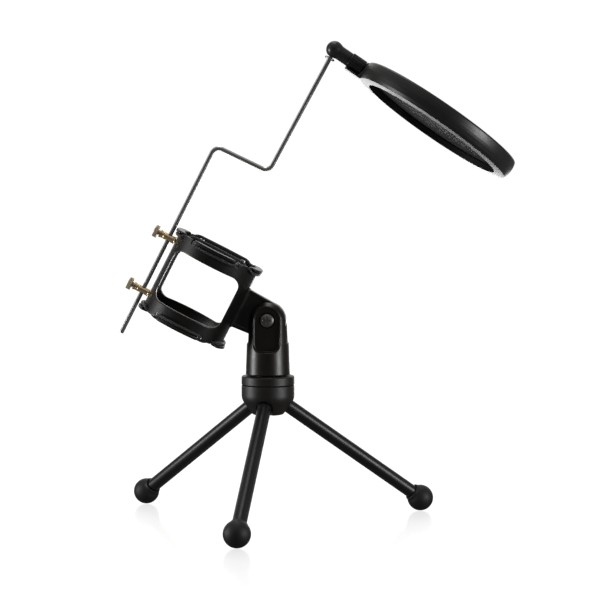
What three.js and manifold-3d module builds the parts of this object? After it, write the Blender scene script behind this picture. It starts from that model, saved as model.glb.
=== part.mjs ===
// Desk stand pop filter: a folding three-legged foot, a panning and tilting
// clevis head, a cage cradle with elastic bands, a Z-shaped steel rod held in
// two brass posts, and a double-mesh round filter on a ball-ended swivel.
// Millimetres, +Z up, feet on z = 0.  The head, cradle, rod and filter stem
// lie in the XZ plane; the tripod's axis is vertical.
import * as THREE from 'three';
import { mergeVertices } from 'three/addons/utils/BufferGeometryUtils.js';
import Module from 'manifold-3d';

const wasm = await Module();
wasm.setup();

// ------------------------------------------------------ driving dimensions
const DEG = Math.PI / 180;
// the tripod axis in the part's frame, so that the origin is bottom centre
const AXIS_X = -27.229, AXIS_Y = 20.092;

// tripod
const HUB_R = 15.2, HUB_FOOT_R = 8.75;          // hub barrel, and its small end
const HUB_Z0 = 61, HUB_Z1 = 69.8, HUB_SEAM = 78.1, CAP_Z0 = 78.4, CAP_Z1 = 83.5;
const LEG_R = 4, LEG_LEN = 105.1, LEG_TILT = 34.8;      // below horizontal
const PIVOT_R = 9.5, PIVOT_Z = 67.6;          // leg pivot, from the tripod axis
const LEG_AZIMUTHS = { front: -95.2, left: 144.8, right: 24.8 };
const FOOT_R = 7.8, SLOT_R = 4.35, PIN_R = 1.0, PIN_HALF = 5.3;
const STUD_R = 7.75, STUD_TOP = 94.6;

// swivel barrel (clevis)
const BARREL_Z0 = 84.1, BARREL_R0 = 12.8, BARREL_R1 = 11.6, TILT_Z = 115.5;
const DOME_R = 11.35, SLOT_HALF = 4.3, SLOT_FLOOR = 102.6;
const RECESS_HALF = 7.6, RECESS_Y = 7.2, RECESS_Z0 = 97.4, RECESS_CORNER = 4.5;

// cradle: its own frame, cage axis along local z, pivot side along local +x
const CRADLE_TILT = 27, CRADLE_X = -38.64, CRADLE_Z = 133.5;
const CAGE_R = 25.2, CAGE_RI = 23, CAGE_HALF = 24.6;
const WINDOW_X0 = -21.3, WINDOW_X1 = 20, WINDOW_HALF_Z = 15.5, WINDOW_CORNER = 5.5;
const LIP_R = 27.6, LIP_Z0 = 23.4, LIP_Z1 = 25.2, LIP_HALF = 29;
const NOTCH_HALF = 1.2, NOTCH_Z = 22;
const ARM_X = 42.6, ARM_Z = 1.5, ARM_HALF = 3.3;
const ARM_TOP = [11, 10.3], ARM_LOW = [13, 11.4];   // half widths at the cage and at the pivot
const BAND_R = 0.9, BAND_RING = 26.3, BAND_CHORD = 13.4;
const BAND_LOW = 22.2, BAND_MID = 23.4, BAND_HIGH = 25.35;
const ROD_R = 1.25, ROD_OFFSET = 29.4;
const POST_Z = { upper: 17.5, lower: -16.2 };

// rod, in the cradle frame (x, z)
const ROD_PTS = [[-29.4, -44.1], [-29.4, 76.6], [4.7, 77.4]];
const ROD_BEND = 4.5;

// ball swivel and filter: frame at the ball's centre, x along the stem
const BALL_X = 38.15, BALL_Z = 269.6, STEM_TILT = 34.5, FILTER_ROLL = -5.7;
const BALL_R = 4.88, STEM_R = 4.1, STEM_LEN = 10.1, SPIGOT_R = 3.2;
const COLLAR_X0 = 10.5, COLLAR_X1 = 19.5, COLLAR_R = 4.68;
const DISC_X = 70.9, DISC_R = 50.8, MESH_OPEN_R = 43;

// ---------------------------------------------------------------- materials
const mat = (color, roughness, metalness) =>
  new THREE.MeshStandardMaterial({ color, roughness, metalness });
const M = {
  abs: () => mat(0x3b3633, 0.42, 0), enamel: () => mat(0x45413f, 0.32, 0.5),
  rubber: () => mat(0x232021, 0.75, 0), steel: () => mat(0xb9bbb8, 0.28, 1),
  brass: () => mat(0xc49a52, 0.35, 1), brassworn: () => mat(0xb9a487, 0.42, 1),
  band: () => mat(0x1d1b1b, 0.8, 0), nylon: () => mat(0xd9d6cd, 0.5, 0),
  rim: () => mat(0x3a3836, 0.38, 0), mesh: () => mat(0x2b2a2a, 0.85, 0),
  zinc: () => mat(0x8f8f8b, 0.4, 1),
};

// ------------------------------------------------------------ solid helpers
function solid(geometry, ...matrices) {
  let g = geometry.index ? geometry.clone() : geometry;
  for (const m of matrices) g.applyMatrix4(m);
  g.deleteAttribute('normal'); g.deleteAttribute('uv');
  g = mergeVertices(g, 1e-4);
  const p = g.attributes.position.array, src = g.index.array, tri = [];
  let vol = 0;
  for (let i = 0; i < src.length; i += 3) {
    const [a, b, c] = [src[i], src[i + 1], src[i + 2]];
    if (a === b || b === c || c === a) continue;
    tri.push(a, b, c);
    const A = new THREE.Vector3().fromArray(p, a * 3);
    const B = new THREE.Vector3().fromArray(p, b * 3);
    const C = new THREE.Vector3().fromArray(p, c * 3);
    vol += A.dot(B.cross(C)) / 6;
  }
  if (vol < 0) for (let i = 0; i < tri.length; i += 3) [tri[i], tri[i + 1]] = [tri[i + 1], tri[i]];
  return new wasm.Manifold(new wasm.Mesh({
    numProp: 3, vertProperties: new Float32Array(p), triVerts: new Uint32Array(tri) }));
}
const union = (...s) => s.reduce((a, b) => a.add(b));
const cut = (a, ...s) => s.reduce((x, y) => x.subtract(y), a);
function toGeometry(s) {
  const m = s.getMesh();
  const g = new THREE.BufferGeometry();
  const p = new Float32Array(m.numVert * 3);
  for (let i = 0; i < m.numVert; i++)
    for (let k = 0; k < 3; k++) p[3 * i + k] = m.vertProperties[i * m.numProp + k];
  g.setAttribute('position', new THREE.BufferAttribute(p, 3));
  g.setIndex(new THREE.BufferAttribute(new Uint32Array(m.triVerts), 1));
  g.computeVertexNormals();
  return g;
}
const T = (x, y, z) => new THREE.Matrix4().makeTranslation(x, y, z);
const RX = (a) => new THREE.Matrix4().makeRotationX(a * DEG);
const RY = (a) => new THREE.Matrix4().makeRotationY(a * DEG);
const RZ = (a) => new THREE.Matrix4().makeRotationZ(a * DEG);
// profile of [radius, height] pairs turned about z
const turned = (pts, n = 32) =>
  solid(new THREE.LatheGeometry(pts.map(([r, z]) => new THREE.Vector2(r, z)), n), RX(90));
// ring between two radii and two heights
const ring = (ri, ro, z0, z1, n = 32) => turned([[ri, z0], [ro, z0], [ro, z1], [ri, z1], [ri, z0]], n);
const rod = (r, z0, z1, n = 24) => turned([[0, z0], [r, z0], [r, z1], [0, z1]], n);
const box = (x0, x1, y0, y1, z0, z1) =>
  solid(new THREE.BoxGeometry(x1 - x0, y1 - y0, z1 - z0), T((x0 + x1) / 2, (y0 + y1) / 2, (z0 + z1) / 2));
const moved = (s, ...ms) => ms.reduce((a, m) => a.transform(m.elements), s);
const alongX = RY(90), alongY = RX(-90);
// outline given in (x, z), extruded from y0 to y1
const plate = (shape, y0, y1, curveSegments = 10) => solid(
  new THREE.ExtrudeGeometry(shape, { depth: y1 - y0, bevelEnabled: false, curveSegments }),
  RX(90), T(0, y1, 0));
function roundedRect(x0, x1, y0, y1, r) {
  const s = new THREE.Shape();
  s.moveTo(x0 + r, y0); s.lineTo(x1 - r, y0); s.absarc(x1 - r, y0 + r, r, -Math.PI / 2, 0);
  s.lineTo(x1, y1 - r); s.absarc(x1 - r, y1 - r, r, 0, Math.PI / 2);
  s.lineTo(x0 + r, y1); s.absarc(x0 + r, y1 - r, r, Math.PI / 2, Math.PI);
  s.lineTo(x0, y0 + r); s.absarc(x0 + r, y0 + r, r, Math.PI, 1.5 * Math.PI);
  return s;
}
// a curve whose stations are exactly the given points
class Stations extends THREE.Curve {
  constructor(points, closed = false) { super(); this.p = points; this.closed = closed; }
  get n() { return this.closed ? this.p.length : this.p.length - 1; }
  at(i) {
    const m = this.p.length;
    return this.p[this.closed ? ((i % m) + m) % m : Math.min(Math.max(i, 0), m - 1)];
  }
  getPoint(t, out = new THREE.Vector3()) {
    const x = t * this.n, i = Math.min(Math.floor(x + 1e-6), this.n - (this.closed ? 0 : 1));
    return out.copy(this.at(i)).lerp(this.at(i + 1), Math.max(0, x - i));
  }
  getPointAt(u, out) { return this.getPoint(u, out); }
  getTangent(t, out = new THREE.Vector3()) {
    const i = Math.round(t * this.n);
    const a = this.at(i).clone().sub(this.at(i - 1)), b = this.at(i + 1).clone().sub(this.at(i));
    if (a.lengthSq() > 0) a.normalize();
    if (b.lengthSq() > 0) b.normalize();
    return out.copy(a.add(b).normalize());
  }
  getTangentAt(u, out) { return this.getTangent(u, out); }
}
const circle = (r, n) => {
  const s = new THREE.Shape();
  for (let i = 0; i < n; i++) {
    const a = (2 * Math.PI * i) / n, x = r * Math.cos(a), y = r * Math.sin(a);
    if (i) s.lineTo(x, y); else s.moveTo(x, y);
  }
  return s;
};

// ---------------------------------------------------------- scene assembly
const object = new THREE.Group();
const stand = new THREE.Group();
stand.position.set(AXIS_X, AXIS_Y, 0);
object.add(stand);
const add = (group, name, s, material) => {
  const mesh = new THREE.Mesh(toGeometry(s), material);
  mesh.name = name;
  group.add(mesh);
  return mesh;
};

// ------------------------------------------------------------------ tripod
const legDir = [Math.cos(LEG_TILT * DEG), -Math.sin(LEG_TILT * DEG)];
// room for a leg from spread to folded straight down, in one azimuth's frame
function legSlot() {
  const toPivot = T(PIVOT_R, 0, PIVOT_Z);
  const ball = moved(turned([[0, -SLOT_R], [SLOT_R * 0.5, -SLOT_R * 0.866], [SLOT_R * 0.866, -SLOT_R * 0.5],
    [SLOT_R, 0], [SLOT_R * 0.866, SLOT_R * 0.5], [SLOT_R * 0.5, SLOT_R * 0.866], [0, SLOT_R]], 16), toPivot);
  const spread = moved(rod(SLOT_R, 0, 16, 16), alongX, RY(LEG_TILT), toPivot);
  const folded = moved(rod(SLOT_R, -14, 0, 16), toPivot);
  const w = new THREE.Shape();
  w.moveTo(PIVOT_R, PIVOT_Z);
  w.lineTo(PIVOT_R + 16 * legDir[0], PIVOT_Z + 16 * legDir[1]);
  w.lineTo(PIVOT_R + 16, PIVOT_Z - 14); w.lineTo(PIVOT_R, PIVOT_Z - 14); w.closePath();
  const sweep = plate(w, -SLOT_R, SLOT_R);
  const groove = box(PIVOT_R - 1.3, PIVOT_R + 1.3, -5.6, 5.6, PIVOT_Z - 1.3, HUB_SEAM + 1);
  return union(ball, spread, folded, sweep, groove);
}
{
  let hub = turned([[0, HUB_Z0], [HUB_FOOT_R - 0.6, HUB_Z0], [HUB_FOOT_R, HUB_Z0 + 0.5],
    [HUB_R - 0.5, HUB_Z1 - 0.8], [HUB_R, HUB_Z1 + 0.3], [HUB_R, HUB_SEAM], [0, HUB_SEAM]], 36);
  hub = cut(hub, rod(6.3, 74.2, HUB_SEAM + 1), rod(1.8, HUB_Z0 - 1, 75, 12), rod(3.3, HUB_Z0 - 1, 63.6, 16));
  const slot = legSlot();
  for (const az of Object.values(LEG_AZIMUTHS)) hub = cut(hub, moved(slot, RZ(az)));
  add(stand, 'hub_body', hub, M.abs());

  let cap = turned([[6.3, CAP_Z0], [HUB_R - 0.2, CAP_Z0], [HUB_R, CAP_Z0 + 0.2], [HUB_R, CAP_Z1 - 0.9],
    [HUB_R - 0.3, CAP_Z1 - 0.25], [HUB_R - 0.9, CAP_Z1], [6.3, CAP_Z1], [6.3, CAP_Z0]], 36);
  for (const az of Object.values(LEG_AZIMUTHS)) {
    const rib = union(box(PIVOT_R - 1, PIVOT_R + 1, -5.3, 5.3, 72.4, CAP_Z0 + 0.5),
      box(PIVOT_R - 1, PIVOT_R + 1, -5.3, -4.6, 69, 73), box(PIVOT_R - 1, PIVOT_R + 1, 4.6, 5.3, 69, 73));
    cap = union(cap, moved(rib, RZ(az)));
  }
  add(stand, 'hub_cap', cap, M.abs());

  add(stand, 'threaded_stud', turned([[1.8, 74.5], [6, 74.5], [6, 83.8], [STUD_R, 83.8],
    [STUD_R, STUD_TOP - 0.9], [STUD_R - 0.9, STUD_TOP], [0, STUD_TOP], [0, 88], [1.8, 88], [1.8, 74.5]], 24), M.zinc());
  add(stand, 'hub_screw', turned([[0, 61.2], [2.6, 61.2], [2.9, 61.6], [2.9, 63.3], [1.5, 63.3],
    [1.5, 87], [0, 87]], 14), M.zinc());
}
for (const [side, az] of Object.entries(LEG_AZIMUTHS)) {
  const spoke = new THREE.Group();
  spoke.rotation.z = az * DEG;
  stand.add(spoke);
  // leg, built along x with the pivot at zero, then leaned down
  const hinge = new THREE.Group();
  hinge.position.set(PIVOT_R, 0, PIVOT_Z);
  hinge.rotation.y = LEG_TILT * DEG;
  spoke.add(hinge);
  const r = LEG_R;
  let leg = moved(turned([[0, -r], [r * 0.5, -r * 0.866], [r * 0.866, -r * 0.5], [r, 0],
    [r, LEG_LEN + 1.2], [r - 0.5, LEG_LEN + 1.7], [0, LEG_LEN + 1.7]], 18), alongX);
  leg = cut(leg, moved(rod(PIN_R + 0.3, -6, 6, 12), alongY));
  add(hinge, `leg_${side}`, leg, M.enamel());

  const cx = PIVOT_R + LEG_LEN * legDir[0], cz = PIVOT_Z + LEG_LEN * legDir[1];
  const ballPts = [];
  for (let i = 0; i <= 9; i++) ballPts.push([FOOT_R * Math.sin(i * 20 * DEG), -FOOT_R * Math.cos(i * 20 * DEG)]);
  ballPts[0][0] = 0; ballPts[9][0] = 0;
  let foot = moved(turned(ballPts, 18), T(cx, 0, cz));
  foot = cut(foot, moved(rod(LEG_R + 0.3, -12, 2, 18), alongX, RY(LEG_TILT), T(cx, 0, cz)),
    box(cx - 20, cx + 20, -20, 20, -20, 0));
  add(spoke, `foot_${side}`, foot, M.rubber());
  add(spoke, `leg_pin_${side}`, moved(rod(PIN_R, -PIN_HALF, PIN_HALF, 10), alongY, T(PIVOT_R, 0, PIVOT_Z)), M.steel());
}

// ------------------------------------------------------- swivel barrel head
{
  const pts = [[0, BARREL_Z0], [BARREL_R0 - 0.4, BARREL_Z0], [BARREL_R0, BARREL_Z0 + 0.5], [BARREL_R1, TILT_Z]];
  for (let i = 1; i <= 6; i++) {
    const a = i * 15 * DEG;
    pts.push([i === 6 ? 0 : (DOME_R + 0.1 * Math.cos(a)) * Math.cos(a), TILT_Z + DOME_R * Math.sin(a)]);
  }
  let barrel = turned(pts, 36);
  barrel = cut(barrel, rod(9.5, BARREL_Z0 - 1, 95.6, 24),
    box(-15, 15, -SLOT_HALF, SLOT_HALF, SLOT_FLOOR, 140));
  const racetrack = new THREE.Shape();
  const h = RECESS_HALF, k = RECESS_CORNER;
  racetrack.moveTo(-h + k, RECESS_Z0); racetrack.lineTo(h - k, RECESS_Z0);
  racetrack.absarc(h - k, RECESS_Z0 + k, k, -Math.PI / 2, 0);
  racetrack.lineTo(h, TILT_Z); racetrack.absarc(0, TILT_Z, h, 0, Math.PI);
  racetrack.lineTo(-h, RECESS_Z0 + k); racetrack.absarc(-h + k, RECESS_Z0 + k, k, Math.PI, 1.5 * Math.PI);
  barrel = cut(barrel, plate(racetrack, -16, -RECESS_Y, 5), plate(racetrack, RECESS_Y, 16, 5),
    moved(rod(2.3, -16, 16, 14), alongY, T(0, 0, TILT_Z)),
    moved(rod(4.45, -RECESS_Y - 1, -RECESS_Y + 1, 18), alongY, T(0, 0, TILT_Z)));
  add(stand, 'swivel_barrel', barrel, M.abs());
  add(stand, 'thread_insert', ring(8.05, 9.2, 84.4, 95.3, 24), M.brass());

  // pan-head screw from the front, with a cross recess
  let screw = moved(turned([[0, 10.8], [2, 10.8], [2, -6.5], [3.95, -6.5], [3.95, -7.6], [3.3, -8.5], [0, -8.7]].reverse(), 18),
    alongY, T(0, 0, TILT_Z));
  screw = cut(screw, box(-2.1, 2.1, -9, -7.5, TILT_Z - 0.42, TILT_Z + 0.42), box(-0.42, 0.42, -9, -7.5, TILT_Z - 2.1, TILT_Z + 2.1));
  add(stand, 'pivot_screw', screw, M.zinc());
  const hex = circle(4.04, 6);
  hex.holes.push(new THREE.Path(circle(2.3, 14).getPoints()));
  add(stand, 'pivot_nut', plate(hex, 7.5, 10.1), M.zinc()).position.z = TILT_Z;
  for (const [name, y] of [['friction_washer_front', -4.05], ['friction_washer_back', 3.55]])
    add(stand, name, moved(ring(2.3, 7.5, y, y + 0.5, 20), RX(-90), T(0, 0, TILT_Z)), M.nylon());
}

// ----------------------------------------------------------------- cradle
const cradle = new THREE.Group();
cradle.position.set(CRADLE_X, 0, CRADLE_Z);
cradle.rotation.y = CRADLE_TILT * DEG;
stand.add(cradle);
{
  let cage = ring(CAGE_RI, CAGE_R, -CAGE_HALF, CAGE_HALF, 40);
  const lip = (z0, z1) => {
    const s = new THREE.Shape(), a = LIP_HALF * DEG;
    s.absarc(0, 0, LIP_R, -a, a, false);
    s.absarc(0, 0, CAGE_RI, a, -a, true);
    s.closePath();
    return solid(new THREE.ExtrudeGeometry(s, { depth: z1 - z0, bevelEnabled: false, curveSegments: 6 }), T(0, 0, z0));
  };
  // a narrow slot in the rim for each elastic chord
  const h = BAND_CHORD, w = NOTCH_HALF;
  for (const x of [-h, h]) for (const z of [NOTCH_Z, -NOTCH_Z - 8]) {
    cage = cut(cage, box(x - w, x + w, -30, 30, z, z + 8));
    cage = cut(cage, box(-30, 30, x - w, x + w, z, z + 8));
  }
  for (let q = 0; q < 4; q++)
    cage = union(cage, moved(lip(LIP_Z0, LIP_Z1), RZ(90 * q)), moved(lip(-LIP_Z1, -LIP_Z0), RZ(90 * q)));
  const win = roundedRect(WINDOW_X0, WINDOW_X1, -WINDOW_HALF_Z, WINDOW_HALF_Z, WINDOW_CORNER);
  cage = cut(cage, plate(win, -40, 40, 4));
  const arm = new THREE.Shape();
  const tipR = (ARM_TOP[1] + ARM_LOW[1]) / 2, tipZ = ARM_Z + (ARM_TOP[1] - ARM_LOW[1]) / 2;
  arm.moveTo(23.6, ARM_Z - ARM_LOW[0]); arm.lineTo(ARM_X, tipZ - tipR);
  arm.absarc(ARM_X, tipZ, tipR, -Math.PI / 2, Math.PI / 2);
  arm.lineTo(23.6, ARM_Z + ARM_TOP[0]); arm.closePath();
  cage = union(cage, plate(arm, -ARM_HALF, ARM_HALF, 12));
  cage = cut(cage, moved(rod(2.3, -8, 8, 14), alongY, T(ARM_X, 0, ARM_Z)));
  for (const z of Object.values(POST_Z)) cage = cut(cage, moved(rod(1.3, -27, -20, 10), alongX, T(0, 0, z)));
  add(cradle, 'cradle_cage', cage, M.abs());
}
// one elastic loop: two outer arcs under opposite lips, two straight chords
// that drop through the rim's slots
function bandPoints(high) {
  const P = (x, y, z) => new THREE.Vector3(x, y, z), q = [];
  // quarter of the loop from the middle of an outer arc to the middle of a chord
  for (const deg of [0, 9, 18, 26]) q.push(P(BAND_RING * Math.sin(deg * DEG), -BAND_RING * Math.cos(deg * DEG), BAND_LOW));
  q.push(P(12.6, -23.1, BAND_LOW + 0.03), P(13.2, -22.5, BAND_LOW + 0.22), P(BAND_CHORD, -21.7, BAND_LOW + 0.75),
    P(BAND_CHORD, -20.6, BAND_MID - 0.1));
  if (high > BAND_MID) q.push(P(BAND_CHORD, -18.6, BAND_MID + 0.25), P(BAND_CHORD, -16.4, high - 0.5), P(BAND_CHORD, -14.6, high - 0.05));
  q.push(P(BAND_CHORD, -12, high + (high > BAND_MID ? 0.1 : 0)));
  const rev = [...q].reverse();
  const mirrorY = (v) => P(v.x, -v.y, v.z), mirrorX = (v) => P(-v.x, v.y, v.z);
  const right = [...q, ...rev.map(mirrorY)];
  const left = [...right].reverse().map(mirrorX);
  const all = [...right, ...left].filter((v, i, l) => v.distanceTo(l[(i + l.length - 1) % l.length]) > 1e-6);
  return all;
}
for (const [end, flip] of [['upper', false], ['lower', true]]) {
  for (const [way, turn, high] of [['front_back', 0, BAND_MID], ['left_right', 90, BAND_HIGH]]) {
    const pts = bandPoints(high);
    const tube = new THREE.TubeGeometry(new Stations(pts, true), pts.length, BAND_R, 6, true);
    let s = solid(tube, RZ(turn));
    if (flip) s = moved(s, RX(180));
    add(cradle, `elastic_${end}_${way}`, s, M.band());
  }
}
// brass posts, their screws from inside the cage, and the knurled thumbscrews
for (const [end, z] of Object.entries(POST_Z)) {
  let post = moved(turned([[0, -35.3], [2.4, -35.3], [2.4, -34.4], [2.1, -34.1], [2.1, -26], [2.4, -25.8], [2.4, -25.5], [0, -25.5]], 14), alongX);
  post = cut(post, moved(rod(1.3, -36, -29.4, 10), alongX), moved(rod(1.3, -27.7, -24, 10), alongX),
    moved(rod(ROD_R + 0.3, -4, 4, 12), T(-ROD_OFFSET, 0, 0)));
  add(cradle, `rod_post_${end}`, moved(post, T(0, 0, z)), M.brass());
  add(cradle, `post_screw_${end}`, moved(turned([[0, -27.5], [1, -27.5], [1, -22.7], [2, -22.7], [2, -22.1], [1.5, -21.6], [0, -21.6]], 10),
    alongX, T(0, 0, z)), M.zinc());
  const knurl = new THREE.Shape();
  for (let i = 0; i < 36; i++) {
    const a = (2 * Math.PI * i) / 36, r = i % 2 ? 3.35 : 3.65;
    if (i) knurl.lineTo(r * Math.cos(a), r * Math.sin(a)); else knurl.moveTo(r, 0);
  }
  const head = solid(new THREE.ExtrudeGeometry(knurl, { depth: 2.6, bevelEnabled: false }), T(0, 0, -38.9), alongX);
  const stem = moved(turned([[0, -36.4], [1.5, -36.4], [1.5, -35.6], [1, -35.6], [1, -31], [0, -31]], 10), alongX);
  add(cradle, `thumbscrew_${end}`, moved(union(head, stem), T(0, 0, z)), M.brassworn());
}
// Z rod: lower run through the posts, offset run, upper run into the ball
const ballLocal = new THREE.Vector3(BALL_X - CRADLE_X, 0, BALL_Z - CRADLE_Z).applyMatrix4(RY(-CRADLE_TILT));
{
  const [A, B, C] = ROD_PTS.map(([x, z]) => new THREE.Vector3(x, 0, z));
  const up = ballLocal.clone().sub(C).normalize();
  const D = ballLocal.clone().addScaledVector(up, 1.3);
  const corner = (P, Q, R) => {
    const u = P.clone().sub(Q).normalize(), v = R.clone().sub(Q).normalize();
    const half = u.angleTo(v) / 2, d = ROD_BEND / Math.tan(half);
    const bis = u.clone().add(v).normalize(), O = Q.clone().addScaledVector(bis, ROD_BEND / Math.sin(half));
    const s = Q.clone().addScaledVector(u, d).sub(O), e = Q.clone().addScaledVector(v, d).sub(O);
    const total = s.angleTo(e), out = [];
    const axis = s.clone().cross(e).normalize();
    for (let i = 0; i <= 5; i++) out.push(O.clone().add(s.clone().applyAxisAngle(axis, (total * i) / 5)));
    return out;
  };
  const path = new Stations([A, ...corner(A, B, C), ...corner(B, C, D), D]);
  add(cradle, 'offset_rod', solid(new THREE.ExtrudeGeometry(circle(ROD_R, 10),
    { steps: path.n, bevelEnabled: false, extrudePath: path })), M.steel());

  // open retaining ring on the rod just below the ball
  const c = new THREE.Shape(), a = 40 * DEG;
  c.absarc(0, 0, 2.9, a, 2 * Math.PI - a, false);
  c.absarc(0, 0, ROD_R + 0.3, 2 * Math.PI - a, a, true);
  c.closePath();
  const tilt = Math.atan2(up.x, up.z) / DEG;
  add(cradle, 'retaining_ring', solid(new THREE.ExtrudeGeometry(c, { depth: 0.9, bevelEnabled: false, curveSegments: 9 }),
    RZ(90), T(0, 0, -6.3), RY(tilt), T(ballLocal.x, 0, ballLocal.z)), M.zinc());
}

// ------------------------------------------------- ball swivel and filter
const swivel = new THREE.Group();
swivel.position.set(BALL_X, 0, BALL_Z);
swivel.rotation.y = STEM_TILT * DEG;
stand.add(swivel);
{
  const rodDir = ballLocal.clone().sub(new THREE.Vector3(ROD_PTS[2][0], 0, ROD_PTS[2][1])).applyMatrix4(RY(CRADLE_TILT - STEM_TILT));
  const lean = Math.atan2(rodDir.x, rodDir.z) / DEG;
  const pts = [];
  for (let i = 0; i <= 7; i++) {
    const a = (180 - i * 18) * DEG;
    pts.push([i ? BALL_R * Math.sin(a) : 0, BALL_R * Math.cos(a)]);
  }
  let ball = moved(turned([...pts.filter(([r, z]) => z < 2), [STEM_R, Math.sqrt(BALL_R ** 2 - STEM_R ** 2)],
    [STEM_R, STEM_LEN - 0.3], [STEM_R - 0.3, STEM_LEN], [SPIGOT_R, STEM_LEN], [SPIGOT_R, 17.2], [SPIGOT_R - 0.3, 17.5], [0, 17.5]], 20), alongX);
  ball = cut(ball, moved(rod(ROD_R + 0.3, -8, 1.7, 12), RY(lean)), moved(rod(2.2, 7.9, 18, 14), alongX));
  add(swivel, 'swivel_ball', ball, M.abs());

  const ribs = new THREE.Shape(), n = 20;
  for (let i = 0; i < 3 * n; i++) {
    const a = (2 * Math.PI * i) / (3 * n), r = i % 3 ? COLLAR_R : COLLAR_R - 0.38;
    if (i) ribs.lineTo(r * Math.cos(a), r * Math.sin(a)); else ribs.moveTo(r, 0);
  }
  ribs.holes.push(new THREE.Path(circle(SPIGOT_R + 0.3, 16).getPoints()));
  add(swivel, 'lock_collar', solid(new THREE.ExtrudeGeometry(ribs, { depth: COLLAR_X1 - COLLAR_X0, bevelEnabled: false }),
    T(0, 0, COLLAR_X0), alongX), M.abs());
}
const disc = new THREE.Group();
disc.rotation.x = FILTER_ROLL * DEG;
swivel.add(disc);
{
  const N = 52, at = T(DISC_X, 0, 0);
  let frame = moved(turned([[MESH_OPEN_R, -6.1], [49.4, -5.4], [50.2, -3.7], [50.7, -1.4], [DISC_R, 0.1],
    [50.6, 2.2], [50.2, 4], [49.9, 4.7], [49.3, 5.05], [48, 5.1], [48, -2.4], [MESH_OPEN_R, -2.4], [MESH_OPEN_R, -6.1]], N), at);
  // flat seat for the collar, the spigot through it, and the tongue below
  frame = union(frame, box(19.9, 22.6, -4.4, 4.4, -5.5, 4.4),
    moved(turned([[0, 8.3], [1.6, 8.3], [1.9, 8.7], [1.9, 21], [0, 21]], 12), alongX),
    box(10.9, 21.4, -4.5, 4.5, -5.9, -5.1));
  add(disc, 'filter_frame', frame, M.rim());
  add(disc, 'mesh_front', moved(rod(47.6, -2.1, -1.7, N), at), M.mesh());
  add(disc, 'spacer_ring', moved(ring(44, 47.6, -1.4, 1.6, N), at), M.abs());
  add(disc, 'mesh_rear', moved(rod(47.6, 1.9, 2.3, N), at), M.mesh());
  add(disc, 'retaining_hoop', moved(turned([[MESH_OPEN_R, 2.6], [47.6, 2.6], [47.6, 5.1], [MESH_OPEN_R + 0.8, 5.1],
    [MESH_OPEN_R, 4.4], [MESH_OPEN_R, 2.6]], N), at), M.rim());
}

export default object;
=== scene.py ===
import bpy
import math
import numpy as np
from mathutils import Matrix, Vector


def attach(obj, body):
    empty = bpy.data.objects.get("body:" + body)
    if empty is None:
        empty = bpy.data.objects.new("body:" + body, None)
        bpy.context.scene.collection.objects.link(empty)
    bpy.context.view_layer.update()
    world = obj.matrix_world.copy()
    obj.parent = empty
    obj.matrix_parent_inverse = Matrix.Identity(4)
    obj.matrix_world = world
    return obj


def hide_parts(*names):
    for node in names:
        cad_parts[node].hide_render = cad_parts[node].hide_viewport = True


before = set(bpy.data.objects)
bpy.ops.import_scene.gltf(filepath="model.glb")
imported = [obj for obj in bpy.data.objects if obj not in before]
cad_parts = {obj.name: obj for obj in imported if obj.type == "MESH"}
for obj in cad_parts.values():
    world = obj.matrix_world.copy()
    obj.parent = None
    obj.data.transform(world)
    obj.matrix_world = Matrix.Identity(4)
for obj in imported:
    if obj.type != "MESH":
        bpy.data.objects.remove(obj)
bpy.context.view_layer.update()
DEG = math.pi / 180

# --------------------------------------------------------------- placements
# every shape is worked out in millimetres in its own frame, then put in the
# row frame in metres
def RX(a):
    c, s = math.cos(a * DEG), math.sin(a * DEG)
    return np.array([[1, 0, 0, 0], [0, c, -s, 0], [0, s, c, 0], [0, 0, 0, 1.0]])


def RY(a):
    c, s = math.cos(a * DEG), math.sin(a * DEG)
    return np.array([[c, 0, s, 0], [0, 1, 0, 0], [-s, 0, c, 0], [0, 0, 0, 1.0]])


def RZ(a):
    c, s = math.cos(a * DEG), math.sin(a * DEG)
    return np.array([[c, -s, 0, 0], [s, c, 0, 0], [0, 0, 1, 0], [0, 0, 0, 1.0]])


def TR(x, y, z):
    m = np.eye(4)
    m[:3, 3] = (x, y, z)
    return m


STAND = TR(-27.229, 20.092, 0)
CRADLE = STAND @ TR(-38.64, 0, 133.5) @ RY(27)
SWIVEL = STAND @ TR(38.15, 0, 269.6) @ RY(34.5)
DISC = SWIVEL @ RX(-5.7)
FILTER = DISC @ TR(70.9, 0, 0)
LEGS = {"front": -95.2, "left": 144.8, "right": 24.8}
LEG_TILT, PIVOT_R, PIVOT_Z, LEG_LEN = 34.8, 9.5, 67.6, 105.1


def leg_frame(side):
    return STAND @ RZ(LEGS[side]) @ TR(PIVOT_R, 0, PIVOT_Z) @ RY(LEG_TILT)


# ------------------------------------------------------------ mesh building
def put(points, frame_):
    p = np.asarray(points, float).reshape(-1, 3)
    return (p @ frame_[:3, :3].T + frame_[:3, 3]) * 0.001


def turn(normals, frame_):
    n = np.asarray(normals, float).reshape(-1, 3) @ frame_[:3, :3].T
    return n / np.maximum(np.linalg.norm(n, axis=1, keepdims=True), 1e-12)


def make(name, verts, faces, normals, mat, body, nodes=(), uv=None):
    """A mesh piece from points and normals already in the row frame."""
    me = bpy.data.meshes.new(name)
    me.from_pydata(verts.tolist(), [], [list(map(int, f)) for f in faces])
    me.update()
    for p in me.polygons:
        p.use_smooth = True
    if uv is not None:
        layer = me.uv_layers.new(name="UVMap")
        layer.data.foreach_set("uv", np.asarray(uv, np.float32).ravel())
    me.materials.append(mat)
    me.normals_split_custom_set_from_vertices(normals.tolist())
    ob = bpy.data.objects.new(name, me)
    bpy.context.scene.collection.objects.link(ob)
    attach(ob, body)
    if nodes:
        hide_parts(*nodes)
    return ob


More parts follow.
